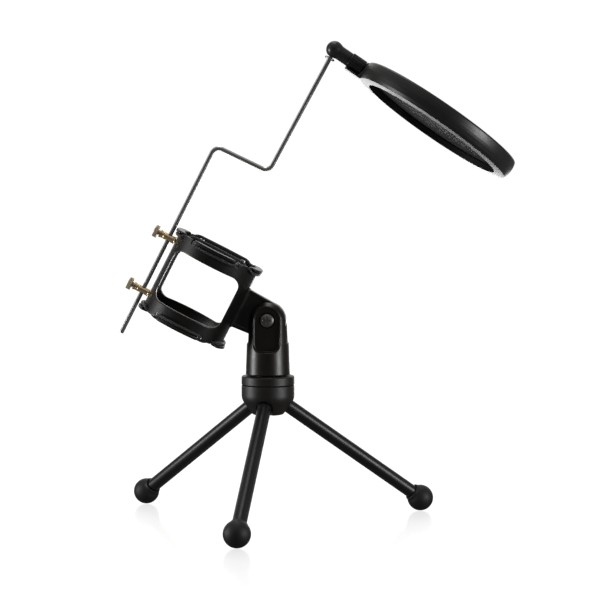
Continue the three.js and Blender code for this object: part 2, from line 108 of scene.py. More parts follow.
def grid(name, P, N, fr, mat, body, nodes=(), wrap=True, uvs=(1.0, 1.0)):
    """Rows of points joined into quads; a row whose points coincide is a pole.
    uvs are millimetres per unit of u (along a row) and v (from row to row)."""
    P, N = np.asarray(P, float), np.asarray(N, float)
    rows, cols = P.shape[:2]
    index, verts, norms = np.zeros((rows, cols), int), [], []
    for i in range(rows):
        pole = np.ptp(P[i], axis=0).max() < 1e-6
        if pole:
            index[i] = len(verts)
            verts.append(P[i, 0])
            norms.append(N[i].mean(0))
        else:
            index[i] = np.arange(len(verts), len(verts) + cols)
            verts.extend(P[i])
            norms.extend(N[i])
    step_v = np.zeros(rows)
    step_v[1:] = np.cumsum(np.linalg.norm(P[1:] - P[:-1], axis=2).mean(1))
    nxt = np.roll(P, -1, axis=1)
    around = np.linalg.norm(nxt - P, axis=2).sum(1).max()
    faces, uv = [], []
    last = cols if wrap else cols - 1
    closed_rows = rows
    for i in range(closed_rows - 1):
        for j in range(last):
            k = (j + 1) % cols
            quad = [index[i, j], index[i, k], index[i + 1, k], index[i + 1, j]]
            u0, u1 = j / cols * around / uvs[0], (j + 1) / cols * around / uvs[0]
            v0, v1 = step_v[i] / uvs[1], step_v[i + 1] / uvs[1]
            tex = [(u0, v0), (u1, v0), (u1, v1), (u0, v1)]
            keep = [a for a in range(4) if quad[a] not in quad[:a]]
            if len(keep) < 3:
                continue
            faces.append([quad[a] for a in keep])
            uv.extend(tex[a] for a in keep)
    return make(name, put(verts, fr), faces, turn(norms, fr), mat, body, nodes, uv)


def fillet(pts, radii, seg=4, closed=False):
    """A profile of (r, z) with rounded corners, and its outward normals.
    It runs anticlockwise with r to the right, so outside is on the right."""
    pts = [np.array(p, float) for p in pts]
    n = len(pts)
    out, nor = [], []

    def right(d):
        d = d / np.linalg.norm(d)
        return np.array([d[1], -d[0]])

    for i in range(n):
        r = radii[i] if not np.isscalar(radii) else radii
        if not closed and i in (0, n - 1):
            d = pts[1] - pts[0] if i == 0 else pts[-1] - pts[-2]
            out.append(pts[i])
            nor.append(right(d))
            continue
        a, b, c = pts[i - 1], pts[i], pts[(i + 1) % n]
        u, v = a - b, c - b
        lu, lv = np.linalg.norm(u), np.linalg.norm(v)
        u, v = u / lu, v / lv
        ang = math.acos(np.clip(u @ v, -1, 1))
        if ang > math.pi - 0.02:
            out.append(b)
            m = right(b - a) + right(c - b)
            nor.append(m / np.linalg.norm(m))
            continue
        d = min(r / math.tan(ang / 2), 0.49 * lu, 0.49 * lv)
        rr = d * math.tan(ang / 2)
        na, nc = right(b - a), right(c - b)
        turn_left = na[0] * nc[1] - na[1] * nc[0] > 0
        centre = b + u * d - na * rr * (1 if turn_left else -1)
        for k in range(seg + 1):
            t = k / seg
            total = math.acos(np.clip(na @ nc, -1, 1)) * (1 if turn_left else -1)
            ct, st = math.cos(total * t), math.sin(total * t)
            m = np.array([na[0] * ct - na[1] * st, na[0] * st + na[1] * ct])
            out.append(centre + m * rr * (1 if turn_left else -1))
            nor.append(m)
    if closed:
        out.append(out[0])
        nor.append(nor[0])
    return np.array(out), np.array(nor)


def dense(prof, nor, step):
    """Adds stations on the long straight runs of a profile."""
    P, N = [prof[0]], [nor[0]]
    for i in range(1, len(prof)):
        k = max(1, int(np.linalg.norm(prof[i] - prof[i - 1]) / step))
        for j in range(1, k + 1):
            t = j / k
            P.append(prof[i - 1] * (1 - t) + prof[i] * t)
            m = nor[i - 1] * (1 - t) + nor[i] * t
            N.append(m / np.linalg.norm(m))
    return np.array(P), np.array(N)


def lathe(name, pts, radii, fr, mat, body, nodes=(), n=96, seg=4, closed=False,
          step=None, ribs=None, uvs=(1.0, 1.0)):
    """A turned piece about its z axis. ribs(theta, r, z) takes some depth off the radius."""
    prof, nor = fillet(pts, radii, seg, closed)
    if step:
        prof, nor = dense(prof, nor, step)
    th = np.arange(n) * 2 * math.pi / n
    c, s = np.cos(th), np.sin(th)
    R = np.repeat(prof[:, :1], n, axis=1)
    Z = np.repeat(prof[:, 1:], n, axis=1)
    NR, NT = np.repeat(nor[:, :1], n, axis=1), np.zeros((len(prof), n))
    NZ = np.repeat(nor[:, 1:], n, axis=1)
    if ribs is not None:
        cut = ribs(th[None, :], R, Z)
        e = 1e-4
        slope = (ribs(th[None, :] + e, R, Z) - ribs(th[None, :] - e, R, Z)) / (2 * e)
        NT = np.where(R > 0.2, NR * slope / np.maximum(R, 0.2), 0)
        R = np.maximum(R - cut, 0)
    P = np.stack([R * c, R * s, Z], axis=2)
    N = np.stack([NR * c - NT * s, NR * s + NT * c, NZ], axis=2)
    return grid(name, P, N, fr, mat, body, nodes, True, uvs)


def sweep(name, path, radius, fr, mat, body, nodes=(), n=18, closed=False, uvs=(1.0, 1.0),
          up=(0, 1, 0), flat=1.0, dome=0.5):
    """A round (or flattened) section along a path, with domed ends."""
    path = np.asarray(path, float)
    m = len(path)
    tan = np.roll(path, -1, 0) - np.roll(path, 1, 0) if closed else np.gradient(path, axis=0)
    tan /= np.linalg.norm(tan, axis=1, keepdims=True)
    u = np.array(up, float)
    frames = []
    for t in tan:
        u = u - t * (u @ t)
        u /= np.linalg.norm(u)
        frames.append((u, np.cross(t, u)))
    th = np.arange(n) * 2 * math.pi / n
    rows_p, rows_n = [], []

    def row(c, f, r, t=None, lean=0.0):
        a, b = f
        p = c + r * (np.cos(th)[:, None] * a + flat * np.sin(th)[:, None] * b)
        q = np.cos(th)[:, None] * a * flat + np.sin(th)[:, None] * b
        q /= np.linalg.norm(q, axis=1, keepdims=True)
        if t is not None:
            q = q * math.cos(lean) + t * math.sin(lean)
        rows_p.append(p)
        rows_n.append(q)

    if not closed:
        e = dome * radius
        for k in range(4, 0, -1):
            a = k * math.pi / 8
            row(path[0] - tan[0] * e * math.sin(a), frames[0],
                radius - e + e * math.cos(a) if k < 4 else radius - e, -tan[0], a)
        rows_p.insert(0, np.repeat((path[0] - tan[0] * e)[None], n, 0))
        rows_n.insert(0, np.repeat(-tan[0][None], n, 0))
    for i in range(m):
        row(path[i], frames[i], radius)
    if not closed:
        for k in range(1, 5):
            a = k * math.pi / 8
            row(path[-1] + tan[-1] * e * math.sin(a), frames[-1],
                radius - e + e * math.cos(a) if k < 4 else radius - e, tan[-1], a)
        rows_p.append(np.repeat((path[-1] + tan[-1] * e)[None], n, 0))
        rows_n.append(np.repeat(tan[-1][None], n, 0))
    else:
        rows_p.append(rows_p[0])
        rows_n.append(rows_n[0])
        # close without a doubled row of points
        return tube_closed(name, rows_p[:-1], rows_n[:-1], fr, mat, body, nodes, uvs)
    return grid(name, rows_p, rows_n, fr, mat, body, nodes, True, uvs)


def tube_closed(name, P, N, fr, mat, body, nodes, uvs):
    P, N = np.array(P), np.array(N)
    m, n = P.shape[:2]
    # the frame carried round a closed path comes back turned; start each row
    # where it lies nearest to the first one's direction
    around = np.linalg.norm(np.roll(P, -1, 1) - P, axis=2).sum(1).max()
    d = np.linalg.norm(np.roll(P, -1, 0) - P, axis=2).mean(1)
    v = np.concatenate([[0], np.cumsum(d)])
    turns = max(1, round(v[-1] / uvs[1]))
    v = v / v[-1] * turns
    shift = int(np.argmin([np.linalg.norm(np.roll(P[0], -s, 0) - P[-1]) for s in range(n)]))
    faces, uv = [], []
    for i in range(m):
        for j in range(n):
            k = (j + 1) % n
            a, b = i * n + j, i * n + k
            if i < m - 1:
                c, e = (i + 1) * n + k, (i + 1) * n + j
            else:
                c, e = (k + shift) % n, (j + shift) % n
            faces.append([a, b, c, e])
            u0, u1 = j / n * around / uvs[0], (j + 1) / n * around / uvs[0]
            uv.extend([(u0, v[i]), (u1, v[i]), (u1, v[i + 1]), (u0, v[i + 1])])
    return make(name, put(P.reshape(-1, 3), fr), faces, turn(N.reshape(-1, 3), fr), mat, body, nodes, uv)


# signed distances, negative inside, with rounded unions and cuts
def smin(a, b, k):
    h = np.maximum(k - np.abs(a - b), 0) / k
    return np.minimum(a, b) - h * h * k * 0.25


def smax(a, b, k):
    return -smin(-a, -b, k)


def box2(x, y, hx, hy, r):
    qx, qy = np.abs(x) - hx + r, np.abs(y) - hy + r
    return np.hypot(np.maximum(qx, 0), np.maximum(qy, 0)) + np.minimum(np.maximum(qx, qy), 0) - r


def box3(x, y, z, hx, hy, hz, r):
    qx, qy, qz = np.abs(x) - hx + r, np.abs(y) - hy + r, np.abs(z) - hz + r
    return (np.sqrt(np.maximum(qx, 0) ** 2 + np.maximum(qy, 0) ** 2 + np.maximum(qz, 0) ** 2)
            + np.minimum(np.maximum(qx, np.maximum(qy, qz)), 0) - r)


def rod_z(x, y, z, r, z0, z1, k=0.2):
    return smax(np.hypot(x, y) - r, np.abs(z - (z0 + z1) / 2) - (z1 - z0) / 2, k)


def polygon(x, y, pts):
    """Signed distance to a convex or concave polygon."""
    d = np.full(np.shape(x), 1e9)
    s = np.ones(np.shape(x))
    n = len(pts)
    for i in range(n):
        ax, ay = pts[i]
        bx, by = pts[i - 1]
        ex, ey = bx - ax, by - ay
        wx, wy = x - ax, y - ay
        t = np.clip((wx * ex + wy * ey) / (ex * ex + ey * ey), 0, 1)
        d = np.minimum(d, (wx - ex * t) ** 2 + (wy - ey * t) ** 2)
        c1, c2, c3 = y >= ay, y < by, ex * wy > ey * wx
        flip = (c1 & c2 & c3) | (~c1 & ~c2 & ~c3)
        s = np.where(flip, -s, s)
    return s * np.sqrt(d)


def field(name, f, lo, hi, h, fr, mat, body, nodes=()):
    """The zero surface of f, as quads drawn onto it, with the field's own normals."""
    lo, hi = np.array(lo, float) - 2 * h, np.array(hi, float) + 2 * h
    n = np.ceil((hi - lo) / h).astype(int) + 1
    ax = [lo[i] + h * np.arange(n[i]) for i in range(3)]
    F = np.empty(tuple(n))
    for i in range(n[0]):
        Y, Z = np.meshgrid(ax[1], ax[2], indexing="ij")
        F[i] = f(np.full(Y.shape, ax[0][i]), Y, Z)
    F = np.where(np.abs(F) < 1e-9, 1e-9, F)
    S = F < 0
    cells = (n[0] - 1, n[1] - 1, n[2] - 1)
    total = cells[0] * cells[1] * cells[2]
    acc, cnt = np.zeros((total, 3)), np.zeros(total)
    edges = []
    for a in range(3):
        sl0 = [slice(None)] * 3
        sl1 = [slice(None)] * 3
        sl0[a], sl1[a] = slice(0, -1), slice(1, None)
        A, B = F[tuple(sl0)], F[tuple(sl1)]
        idx = np.argwhere(S[tuple(sl0)] != S[tuple(sl1)])
        fa, fb = A[tuple(idx.T)], B[tuple(idx.T)]
        p = idx.astype(float)
        p[:, a] += fa / (fa - fb)
        b, c = (a + 1) % 3, (a + 2) % 3
        four = []
        for ob, oc in ((0, 0), (-1, 0), (-1, -1), (0, -1)):
            q = idx.copy()
            q[:, b] += ob
            q[:, c] += oc
            flat = (q[:, 0] * cells[1] + q[:, 1]) * cells[2] + q[:, 2]
            four.append(flat)
            for k in range(3):
                acc[:, k] += np.bincount(flat, weights=p[:, k], minlength=total)
            cnt += np.bincount(flat, minlength=total)
        edges.append((np.stack(four, 1), fa < 0))
    used = np.flatnonzero(cnt)
    new = np.full(total, -1)
    new[used] = np.arange(len(used))
    V = lo + h * acc[used] / cnt[used][:, None]
    faces = []
    for four, inside in edges:
        q = new[four]
        q = np.where(inside[:, None], q, q[:, ::-1])
        faces.append(q)
    faces = np.concatenate(faces)

    def grad(P, e=0.02):
        g = np.empty_like(P)
        for k in range(3):
            d = np.zeros(3)
            d[k] = e
            g[:, k] = (f(*(P + d).T) - f(*(P - d).T)) / (2 * e)
        return g

    start = V.copy()
    for _ in range(4):
        g = grad(V)
        v = f(*V.T)
        step = -(v / np.maximum((g * g).sum(1), 0.25))[:, None] * g
        size = np.linalg.norm(step, axis=1, keepdims=True)
        step *= np.minimum(1, 0.5 * h / np.maximum(size, 1e-9))
        V = V + step
    away = V - start
    size = np.linalg.norm(away, axis=1, keepdims=True)
    V = start + away * np.minimum(1, 0.9 * h / np.maximum(size, 1e-9))
    g = grad(V)
    return make(name, put(V, fr), faces, turn(g, fr), mat, body, nodes)


# ---------------------------------------------------------------- materials
def shader(name):
    m = bpy.data.materials.new(name)
    m.use_nodes = True
    t = m.node_tree
    b = next(x for x in t.nodes if x.type == "BSDF_PRINCIPLED")
    return m, t, b


def node(t, kind, **values):
    x = t.nodes.new(kind)
    for k, v in values.items():
        if k in x.inputs:
            x.inputs[k].default_value = v
        else:
            setattr(x, k, v)
    return x


def noise(t, coord, scale, detail=3.0, rough=0.5):
    x = node(t, "ShaderNodeTexNoise", Scale=scale, Detail=detail, Roughness=rough)
    t.links.new(coord, x.inputs["Vector"])
    return x.outputs["Fac"]


def spread(t, value, lo, hi, flo=0.3, fhi=0.7):
    x = t.nodes.new("ShaderNodeMapRange")
    x.inputs["From Min"].default_value, x.inputs["From Max"].default_value = flo, fhi
    x.inputs["To Min"].default_value, x.inputs["To Max"].default_value = lo, hi
    t.links.new(value, x.inputs["Value"])
    return x.outputs["Result"]


def blend_colour(t, fac, a, b):
    x = t.nodes.new("ShaderNodeMix")
    x.data_type = "RGBA"
    x.inputs[6].default_value, x.inputs[7].default_value = (*a, 1), (*b, 1)
    t.links.new(fac, x.inputs[0])
    return x.outputs[2]


def bump(t, height, strength, distance, normal=None):
    x = node(t, "ShaderNodeBump", Strength=strength, Distance=distance)
    t.links.new(height, x.inputs["Height"])
    if normal is not None:
        t.links.new(normal, x.inputs["Normal"])
    return x.outputs["Normal"]


def moulded(name, dark, light, r0, r1, grain=0.25, metallic=0.0, specular=0.5, scale=2600.0, streak=None):
    """Moulded plastic, rubber, enamel or plated metal: tone and gloss drift a little, with a fine grain."""
    m, t, b = shader(name)
    co = t.nodes.new("ShaderNodeTexCoord").outputs["Object"]
    drift = noise(t, co, 85.0, 4.0)
    fine = noise(t, co, scale, 2.0, 0.6)
    t.links.new(blend_colour(t, spread(t, drift, 0, 1), dark, light), b.inputs["Base Color"])
    gloss = noise(t, co, 240.0, 5.0, 0.6)
    t.links.new(spread(t, gloss, r0, r1), b.inputs["Roughness"])
    normal = bump(t, fine, grain, 0.00006)
    wave = noise(t, co, 130.0, 1.0)
    normal = bump(t, wave, 0.25, 0.00012, normal)
    t.links.new(normal, b.inputs["Normal"])
    b.inputs["Metallic"].default_value = metallic
    b.inputs["Specular IOR Level"].default_value = specular
    return m


def metal(name, dark, light, r0, r1, lines=None, aniso=0.0):
    m, t, b = shader(name)
    tc = t.nodes.new("ShaderNodeTexCoord")
    co = tc.outputs["Object"]
    drift = noise(t, co, 160.0, 5.0, 0.6)
    t.links.new(blend_colour(t, spread(t, drift, 0, 1), dark, light), b.inputs["Base Color"])
    t.links.new(spread(t, noise(t, co, 900.0, 4.0), r0, r1), b.inputs["Roughness"])
    b.inputs["Metallic"].default_value = 1.0
    if lines:
        mp = node(t, "ShaderNodeMapping")
        mp.inputs["Scale"].default_value = lines
        t.links.new(tc.outputs["UV"], mp.inputs["Vector"])
        h = noise(t, mp.outputs["Vector"], 1.0, 2.0)
        t.links.new(bump(t, h, 0.07, 0.00002), b.inputs["Normal"])
    else:
        t.links.new(bump(t, noise(t, co, 1500.0, 3.0), 0.15, 0.00003), b.inputs["Normal"])
    b.inputs["Anisotropic"].default_value = aniso
    return m


BLACK = moulded("black_moulding", (0.0062, 0.0040, 0.0025), (0.0084, 0.0057, 0.0038), 0.31, 0.38, 0.18)
HUBBLACK = moulded("black_moulding_hub", (0.0050, 0.0034, 0.0026), (0.0068, 0.0049, 0.0040), 0.42, 0.50, 0.2)
CAGEBLACK = moulded("black_moulding_cage", (0.0042, 0.0036, 0.0031), (0.0062, 0.0053, 0.0047), 0.30, 0.40, 0.2)
# painted highlight: this black is lighter than the other mouldings, standing in for the highlights on the collar's ribs
# and the lit tone of the ball
STEM_BLACK_PAINTED_HIGHLIGHT = moulded("black_moulding_stem_painted_highlight", (0.0118, 0.0110, 0.0105), (0.0168, 0.0158, 0.0150), 0.28, 0.38, 0.2)
RIM = moulded("rim_moulding", (0.0086, 0.0085, 0.0084), (0.0118, 0.0116, 0.0114), 0.34, 0.41, 0.08)
ENAMEL = moulded("leg_enamel", (0.0062, 0.0057, 0.0060), (0.0090, 0.0084, 0.0087), 0.32, 0.40, 0.12, 0.0, 0.35)
RUBBER = moulded("foot_rubber", (0.0042, 0.0042, 0.0044), (0.0062, 0.0062, 0.0064), 0.52, 0.62, 0.4, 0.0, 0.4, 1700.0)
NYLON = moulded("nylon_washer", (0.55, 0.53, 0.48), (0.66, 0.64, 0.58), 0.42, 0.55, 0.15)
STEEL = metal("bright_steel", (0.56, 0.56, 0.55), (0.66, 0.66, 0.65), 0.15, 0.22, (9.0, 0.25, 1))
ZINC = metal("zinc_plate", (0.34, 0.34, 0.34), (0.46, 0.46, 0.45), 0.26, 0.38)
DARKSCREW = metal("blackened_screw", (0.20, 0.185, 0.17), (0.28, 0.26, 0.24), 0.30, 0.42)
BRASS = metal("turned_brass", (0.90, 0.67, 0.38), (0.96, 0.76, 0.47), 0.24, 0.32)
KNURL = metal("knurled_brass", (0.74, 0.63, 0.47), (0.86, 0.75, 0.58), 0.44, 0.54)


def cord_material():
    """Braided cover: two families of yarns crossing round the cord, with painted shade in the hollows between the
    yarns.
    """
    m, t, b = shader("elastic_braid")
    uvn = t.nodes.new("ShaderNodeTexCoord").outputs["UV"]
    sp = t.nodes.new("ShaderNodeSeparateXYZ")
    t.links.new(uvn, sp.inputs[0])

    def math_(op, a, b_=None):
        x = t.nodes.new("ShaderNodeMath")
        x.operation = op
        for i, v in enumerate((a, b_)):
            if v is None:
                continue
            if isinstance(v, (int, float)):
                x.inputs[i].default_value = v
            else:
                t.links.new(v, x.inputs[i])
        return x.outputs[0]

    two = 2 * math.pi
    p = math_("SINE", math_("MULTIPLY", math_("ADD", sp.outputs[0], sp.outputs[1]), two))
    q = math_("SINE", math_("MULTIPLY", math_("SUBTRACT", sp.outputs[0], sp.outputs[1]), two))
    weave = math_("MAXIMUM", p, q)
    height = math_("ADD", math_("MULTIPLY", weave, 0.5), 0.5)
    # painted shade: the yarn crowns are lighter and the hollows between them darker
    t.links.new(blend_colour(t, height, (0.003, 0.003, 0.003), (0.018, 0.017, 0.017)), b.inputs["Base Color"])
    t.links.new(bump(t, height, 0.8, 0.00012), b.inputs["Normal"])
    t.links.new(spread(t, height, 0.62, 0.36, 0.0, 1.0), b.inputs["Roughness"])
    b.inputs["Specular IOR Level"].default_value = 0.5
    b.inputs["Sheen Weight"].default_value = 0.15
    return m


CORD = cord_material()


def net_material():
    """Fine plain-weave nylon net: threads at 0.55 mm, the openings let light through, and painted shading makes each
    thread lighter in its middle.
    """
    m, t, b = shader("nylon_net")
    co = t.nodes.new("ShaderNodeTexCoord").outputs["UV"]
    sp = t.nodes.new("ShaderNodeSeparateXYZ")
    t.links.new(co, sp.inputs[0])

    def math_(op, a, b_=None):
        x = t.nodes.new("ShaderNodeMath")
        x.operation = op
        for i, v in enumerate((a, b_)):
            if v is None:
                continue
            if isinstance(v, (int, float)):
                x.inputs[i].default_value = v
            else:
                t.links.new(v, x.inputs[i])
        return x.outputs[0]

    def thread(c):
        w = math_("PINGPONG", c, 0.5)  # 0 at the thread's middle, 0.5 in the opening
        return math_("SUBTRACT", 1.0, math_("MULTIPLY", w, 2.0))

    a, c = thread(sp.outputs[0]), thread(sp.outputs[1])
    top = math_("MAXIMUM", a, c)
    solid = math_("GREATER_THAN", top, 0.30)
    # painted shading: each thread is lighter in its middle and darker towards its edges
    t.links.new(blend_colour(t, top, (0.022, 0.022, 0.0225), (0.036, 0.036, 0.037)), b.inputs["Base Color"])
    t.links.new(bump(t, top, 0.12, 0.00004), b.inputs["Normal"])
    t.links.new(solid, b.inputs["Alpha"])
    t.links.new(spread(t, noise(t, co, 0.08, 3.0), 0.68, 0.82), b.inputs["Roughness"])
    b.inputs["Specular IOR Level"].default_value = 0.06
    b.inputs["Sheen Weight"].default_value = 0.11
    b.inputs["Sheen Roughness"].default_value = 0.45
    return m


NET = net_material()

# ------------------------------------------------------------------- tripod
def leg_room(x, z, y, r):
    """Room for a leg from spread to folded down, in its own azimuth's frame."""
    dx, dz = math.cos(LEG_TILT * DEG), -math.sin(LEG_TILT * DEG)
    wedge = [(PIVOT_R, PIVOT_Z), (PIVOT_R, PIVOT_Z - 16), (PIVOT_R + 18, PIVOT_Z - 16),
             (PIVOT_R + 18 * dx, PIVOT_Z + 18 * dz)]
    d = np.maximum(polygon(x, z, wedge), 0)
    return np.hypot(d, y) - r


def hub_field(x, y, z):
    r = np.hypot(x, y)
    k = math.atan2(15.2 - 8.75, 69.8 - 61)
    cone = (r - 8.75) * math.cos(k) - (z - 61) * math.sin(k)
    d = smax(r - 15.2, cone, 1.6)
    d = smax(d, 61 - z, 0.9)
    d = smax(d, z - 78.1, 0.5)
    for az in LEGS.values():
        c, s = math.cos(az * DEG), math.sin(az * DEG)
        d = smax(d, -leg_room(x * c + y * s, z, -x * s + y * c, 4.4), 0.8)
    d = smax(d, -rod_z(x, y, z, 6.3, 74.2, 90), 0.4)
    d = smax(d, -rod_z(x, y, z, 3.3, 50, 63.6), 0.4)
    return d


field("hub_shell", hub_field, (-15.2, -15.2, 61), (15.2, 15.2, 78.1), 0.36, STAND, HUBBLACK, "hub", ["hub_body"])
lathe("hub_top_cap", [(6.3, 78.4), (15.2, 78.4), (15.2, 83.5), (6.3, 83.5)], [0.15, 0.35, 1.0, 0.2], STAND, HUBBLACK, "hub",
      ["hub_cap"], n=120, seg=5, closed=True)


def cross(x, y, arm, width):
    return smin(box2(x, y, arm, width, 0.1), box2(x, y, width, arm, 0.1), 0.25)


def screw_field(head_r, head_h, dome, shank_r, length, arm, width, deep):
    """A pan-head screw along z: head from 0 up, shank down; a cross recess in the head."""
    def f(x, y, z):
        r = np.hypot(x, y)
        side = r - head_r
        sphere_r = (head_r ** 2 + dome ** 2) / (2 * dome)
        cap = np.sqrt(x * x + y * y + (z - (head_h - sphere_r)) ** 2) - sphere_r
        head = smax(smax(side, cap, 0.5), -z, 0.25)
        shank = smax(r - shank_r, np.abs(z + length / 2) - length / 2 - 0.2, 0.3)
        d = smin(head, shank, 0.15)
        slot_ = smax(cross(x, y, arm, width), head_h - deep - z, 0.2)
        return smax(d, -slot_, 0.18)
    return f


field("hub_screw_head", screw_field(2.9, 2.0, 0.6, 1.5, 6, 1.7, 0.38, 1.1), (-3, -3, -6.4), (3, 3, 2.0), 0.16,
      STAND @ TR(0, 0, 63.3) @ RX(180), ZINC, "hub", ["hub_screw"])

for side in LEGS:
    fr = leg_frame(side)
    # leg tube: along z of this frame after turning its x axis up
    along = fr @ RY(90)
    lathe("leg_tube_" + side, [(0, -4), (2.3, -3.9), (4, -2.2), (4, LEG_LEN + 1.7), (0, LEG_LEN + 1.7)],
          [0, 2.0, 2.6, 0.5, 0], along, ENAMEL, "leg_" + side, ["leg_" + side], n=72, seg=5, step=9)
    cx, cz = PIVOT_R + LEG_LEN * math.cos(LEG_TILT * DEG), PIVOT_Z - LEG_LEN * math.sin(LEG_TILT * DEG)
    ux, uz = -math.cos(LEG_TILT * DEG), math.sin(LEG_TILT * DEG)

    def foot_field(x, y, z, cx=cx, cz=cz, ux=ux, uz=uz):
        px, pz = x - cx, z - cz
        a = px * ux + pz * uz
        rad = np.sqrt(np.maximum(px * px + pz * pz + y * y - a * a, 0))
        d = np.sqrt(px * px + pz * pz + y * y) - 7.64
        # a low collar where the leg goes in
        d = smin(d, smax(rad - 5.15, np.abs(a - 5.2) - 1.75, 0.6), 0.8)
        d = smax(d, -smax(rad - 4.12, -2 - a, 0.4), 0.5)
        return smax(d, -z, 0.35)

    field("foot_ball_" + side, foot_field, (cx - 8, -8, 0), (cx + 8, 8, 15.6), 0.42, STAND @ RZ(LEGS[side]), RUBBER,
          "leg_" + side, ["foot_" + side])

# ------------------------------------------------------------ swivel barrel
TILT_Z = 115.5


def barrel_field(x, y, z):
    r = np.hypot(x, y)
    lean = math.atan2(12.8 - 11.6, TILT_Z - 84.1)
    side = (r - 11.6 + (z - TILT_Z) * math.tan(lean)) * math.cos(lean)
    dome = np.sqrt(x * x + y * y + (z - TILT_Z) ** 2) - 11.34
    soft = 1 / (1 + np.exp(-(z - TILT_Z) / 0.9))
    wall = side * (1 - soft) + dome * soft
    d = smax(wall, 84.1 - z, 0.7)
    d = smax(d, -smax(r - 9.5, z - 95.6, 0.4), 0.4)
    d = smax(d, -smax(np.abs(y) - 4.3, 102.6 - z, 1.6), 0.9)
    # sunk flats front and back, round at the top, rounded corners below
    up = np.hypot(x, np.maximum(z - TILT_Z, 0)) - 7.4
    low = box2(x, z - (97.6 + 20), 7.4, 20, 4.4)
    race = np.where(z > TILT_Z, up, np.where(z < 108, low, np.abs(x) - 7.4))
    sunk = smax(race, 7.2 - np.abs(y), 0.7)
    d = smax(d, -sunk, 1.0)
    hole = np.hypot(x, z - TILT_Z)
    d = smax(d, -(hole - 2.3), 0.3)
    d = smax(d, -smax(hole - 4.45, np.where(y < 0, 6.2 + y, 50), 0.2), 0.35)
    return d


field("swivel_shell", barrel_field, (-12.9, -12.9, 84.1), (12.9, 12.9, 126.8), 0.34, STAND, BLACK, "head",
      ["swivel_barrel"])

# screw along -y: its z axis points to the front
FRONT = STAND @ TR(0, -6.5, TILT_Z) @ RX(90)
field("pivot_screw_pan", screw_field(3.95, 2.2, 1.0, 2.0, 17.3, 2.35, 0.46, 1.3), (-4, -4, -17.6), (4, 4, 2.2), 0.17,
      FRONT, DARKSCREW, "head", ["pivot_screw"])


def nut_field(x, y, z):
    d = np.full(np.shape(x), -1e9)
    for a in (30, 90, 150):
        c, s = math.cos(a * DEG), math.sin(a * DEG)
        d = smax(d, np.abs(x * c + y * s) - 3.5, 0.15)
    r = np.hypot(x, y)
    d = smax(d, np.abs(z) - 1.3, 0.15)
    d = smax(d, (r - 4.0 + (np.abs(z) - 1.0) * 0.6), 0.2)
    d = smax(d, -(r - 2.1), 0.3)
    return d


field("pivot_hex_nut", nut_field, (-4.1, -4.1, -1.3), (4.1, 4.1, 1.3), 0.17, STAND @ TR(0, 8.8, TILT_Z) @ RX(-90), ZINC,
      "head", ["pivot_nut"])
for name, y in (("front", -3.8), ("back", 3.8)):
    lathe("tilt_washer_" + name, [(2.35, -0.25), (7.5, -0.25), (7.5, 0.25), (2.35, 0.25)], [0.1] * 4,
          STAND @ TR(0, y, TILT_Z) @ RX(90), NYLON, "head", ["friction_washer_" + name], n=64, seg=2, closed=True)

# ------------------------------------------------------------------- cradle
def cage_field(x, y, z):
    r = np.hypot(x, y)
    th = np.arctan2(y, x)
    az = np.abs(z)
    d = smax(np.abs(r - 24.1) - 1.1, az - 24.6, 0.7)
    # narrow slots in the rim, where the cords drop over it
    slit = np.minimum(np.abs(np.abs(x) - 13.4), np.abs(np.abs(y) - 13.4))
    d = smax(d, -smax(slit - 1.2, 22.0 - az, 0.8), 0.5)
    # lips at 0, 90, 180 and 270 degrees
    t90 = np.abs(np.mod(th + math.pi / 4, math.pi / 2) - math.pi / 4)
    lip = smax(smax(np.abs(r - 25.3) - 2.3, np.abs(az - 24.3) - 0.9, 0.5), (t90 - 29 * DEG) * r, 1.2)
    d = smin(d, lip, 0.9)
    # side windows, straight through
    win = box2(x + 0.65, z, 20.65, 15.5, 5.5)
    d = smax(d, -win, 0.6)
    # arm to the tilt joint
    ax, azz = x - 42.6, z - 1.5
    tip = np.hypot(ax, z - 0.95) - 10.85
    top = z - (11.8 - 0.0368 * ax)
    low = (-9.9 + 0.0842 * ax) - z
    outline = np.where(x > 42.6, tip, np.maximum(np.maximum(top, low), 22.6 - x))
    arm = smax(outline, np.abs(y) - 3.3, 0.7)
    # shallow panel in the arm's sides
    edge = np.maximum(np.maximum(top, low) + 2.2, np.maximum(26.6 - x, 9.9 - np.hypot(ax, azz)))
    panel = smax(smax(edge, x - 36.5, 0.6), 2.9 - np.abs(y), 0.3)
    arm = smax(arm, -panel, 0.5)
    arm = smax(arm, 23.3 - r, 0.2)
    d = smin(d, arm, 1.8)
    hole = np.hypot(ax, azz)
    d = smax(d, -(hole - 2.3), 0.4)
    for pz in (17.5, -16.2):
        d = smax(d, -smax(np.hypot(y, z - pz) - 1.3, x, 0.2), 0.3)
    return d


field("cradle_shell", cage_field, (-27.8, -27.8, -25.2), (53.6, 27.8, 25.2), 0.46, CRADLE, CAGEBLACK, "cradle",
      ["cradle_cage"])


def catmull(pts, per=4):
    pts = np.asarray(pts, float)
    n = len(pts)
    out = []
    for i in range(n):
        p0, p1, p2, p3 = pts[i - 1], pts[i], pts[(i + 1) % n], pts[(i + 2) % n]
        for k in range(per):
            t = k / per
            out.append(0.5 * ((2 * p1) + (-p0 + p2) * t + (2 * p0 - 5 * p1 + 4 * p2 - p3) * t * t
                              + (-p0 + 3 * p1 - 3 * p2 + p3) * t ** 3))
    return out


